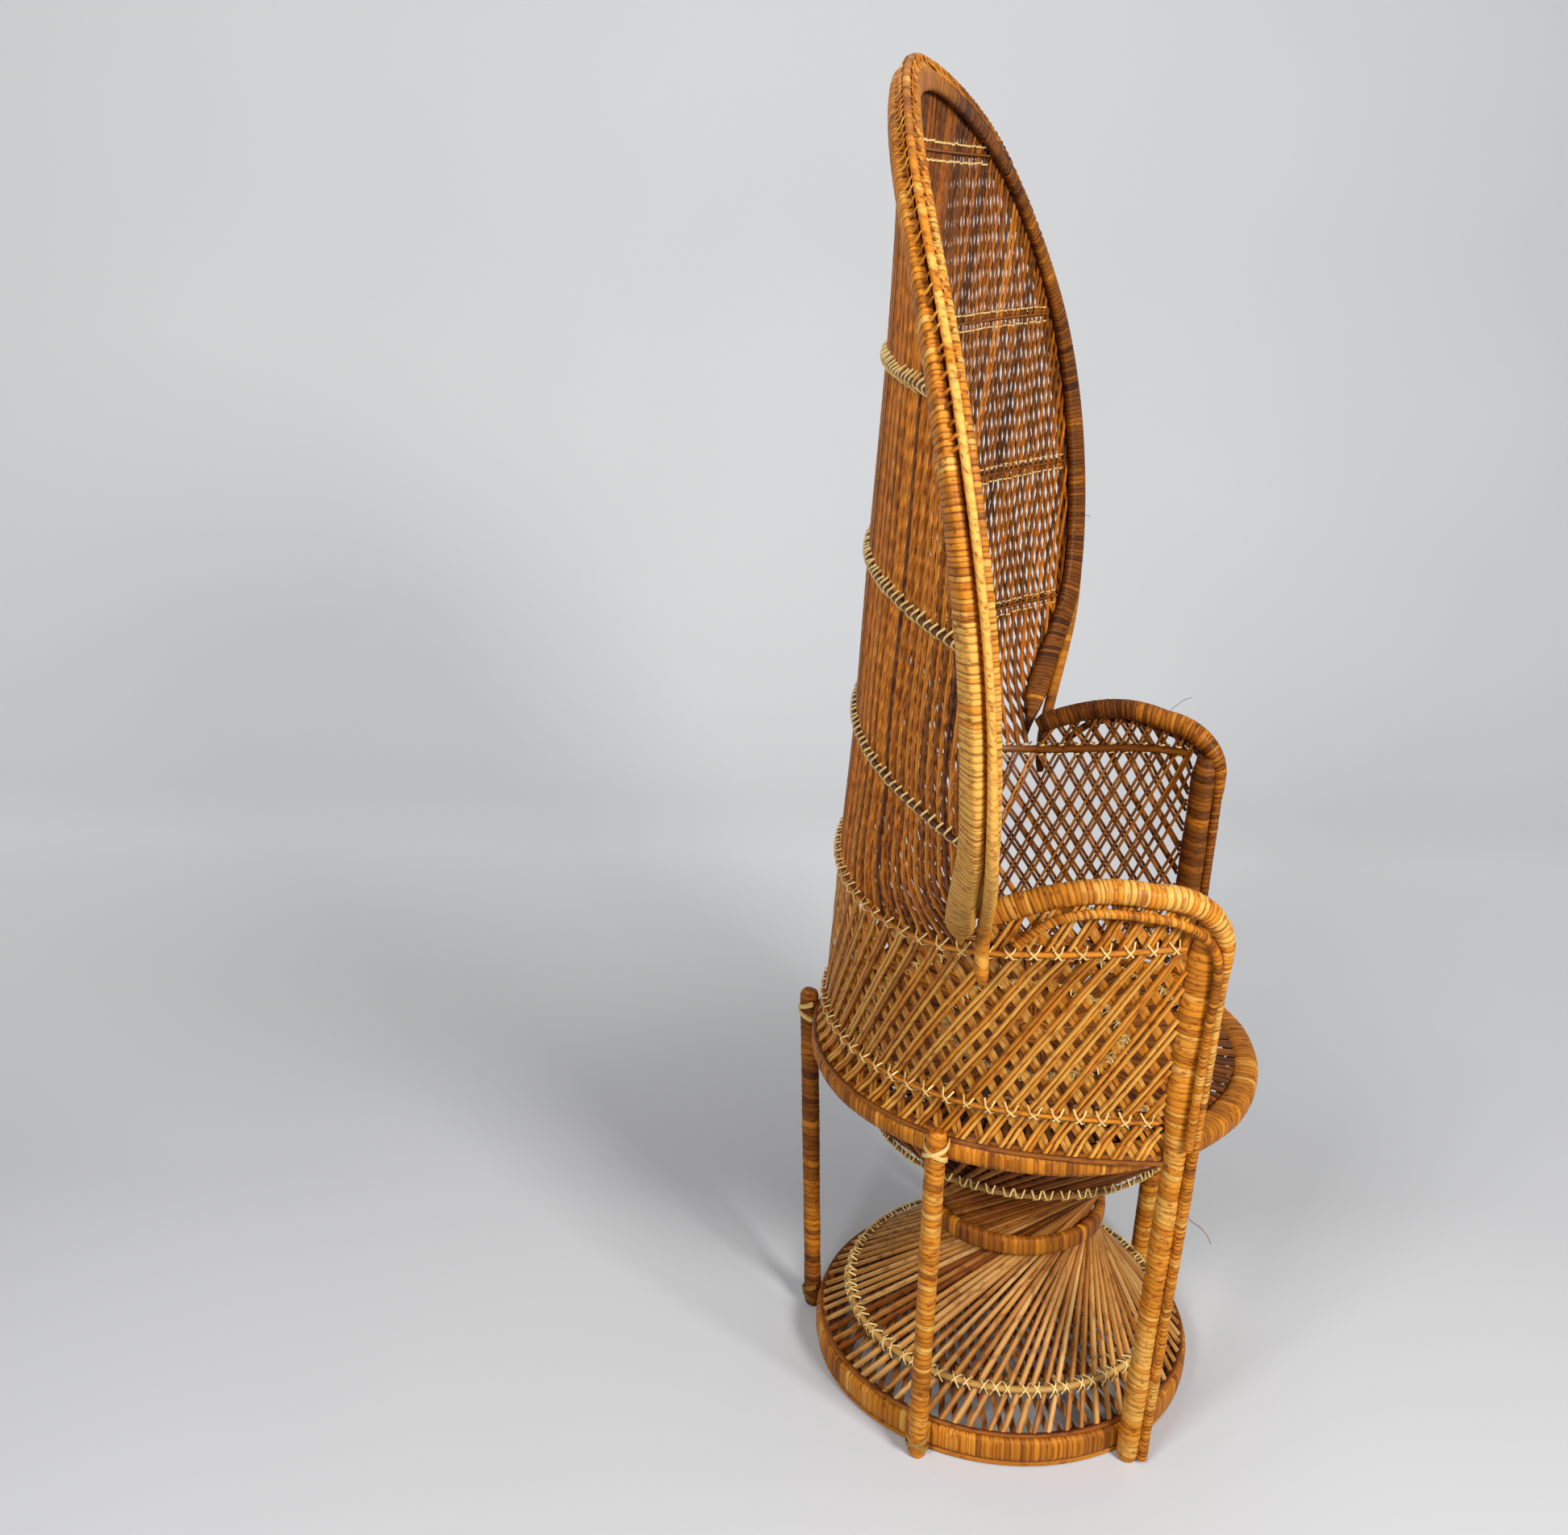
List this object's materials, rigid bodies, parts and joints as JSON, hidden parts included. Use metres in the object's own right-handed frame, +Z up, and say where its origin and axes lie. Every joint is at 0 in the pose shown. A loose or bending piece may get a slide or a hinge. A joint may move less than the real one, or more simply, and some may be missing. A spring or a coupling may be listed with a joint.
{
  "type": "peacock chair",
  "caption": "Wicker peacock chair with a tall flared hood of crossed canes and a wrapped rim, low woven arms, a round seat and a waisted pedestal on a base ring.",
  "frame": {"origin": "on the floor, under the middle of the outline", "axes": "+Z up, the chair faces -Y, +X is the sitter's left"},
  "size_m": [1.0154, 0.5196, 1.4195],
  "materials": {
    "peel": "lacquered rattan peel",
    "cane": "lacquered rattan cane",
    "binding": "pale rattan binding",
    "pole": "bare rattan pole"
  },
  "bodies": {
    "root": {"base_ring": "peel", "waist_ring": "peel", "seat_rim": "peel", "leg_back": "peel", "leg_rear_right": "peel", "leg_rear_left": "peel", "leg_front_right": "peel", "leg_front_left": "peel", "hood_edge_rod": "peel", "arm_rail_left": "peel", "arm_rail_right": "peel", "arm_bead_left": "peel", "arm_bead_right": "peel", "base_floor_hoop": "cane", "pedestal_outer_canes": "cane", "pedestal_inner_canes": "cane", "seat_canes": "cane", "wall_outer_canes": "cane", "wall_inner_canes": "cane", "hood_outer_canes": "cane", "hood_inner_canes": "cane", "seat_bearer_fore_aft": "pole", "seat_bearer_side": "pole", "lashing_foot_back": "binding", "lashing_seat_back": "binding", "lashing_foot_rear_right": "binding", "lashing_seat_rear_right": "binding", "lashing_foot_rear_left": "binding", "lashing_seat_rear_left": "binding", "pedestal_low_hoop_outer": "binding", "pedestal_low_hoop_inner": "binding", "pedestal_high_hoop": "binding", "seat_outer_hoop": "binding", "seat_inner_hoop": "binding", "wall_low_hoop_outer": "binding", "wall_arm_hoop_outer": "binding", "wall_low_hoop_inner": "binding", "wall_arm_hoop_inner": "binding", "hood_hoop_1_outer": "binding", "hood_hoop_1_inner": "binding", "hood_hoop_2_outer": "binding", "hood_hoop_2_inner": "binding", "hood_hoop_3_outer": "binding", "hood_hoop_3_inner": "binding", "hood_hoop_4_outer": "binding", "hood_hoop_4_inner": "binding"}
  },
  "joints": []
}
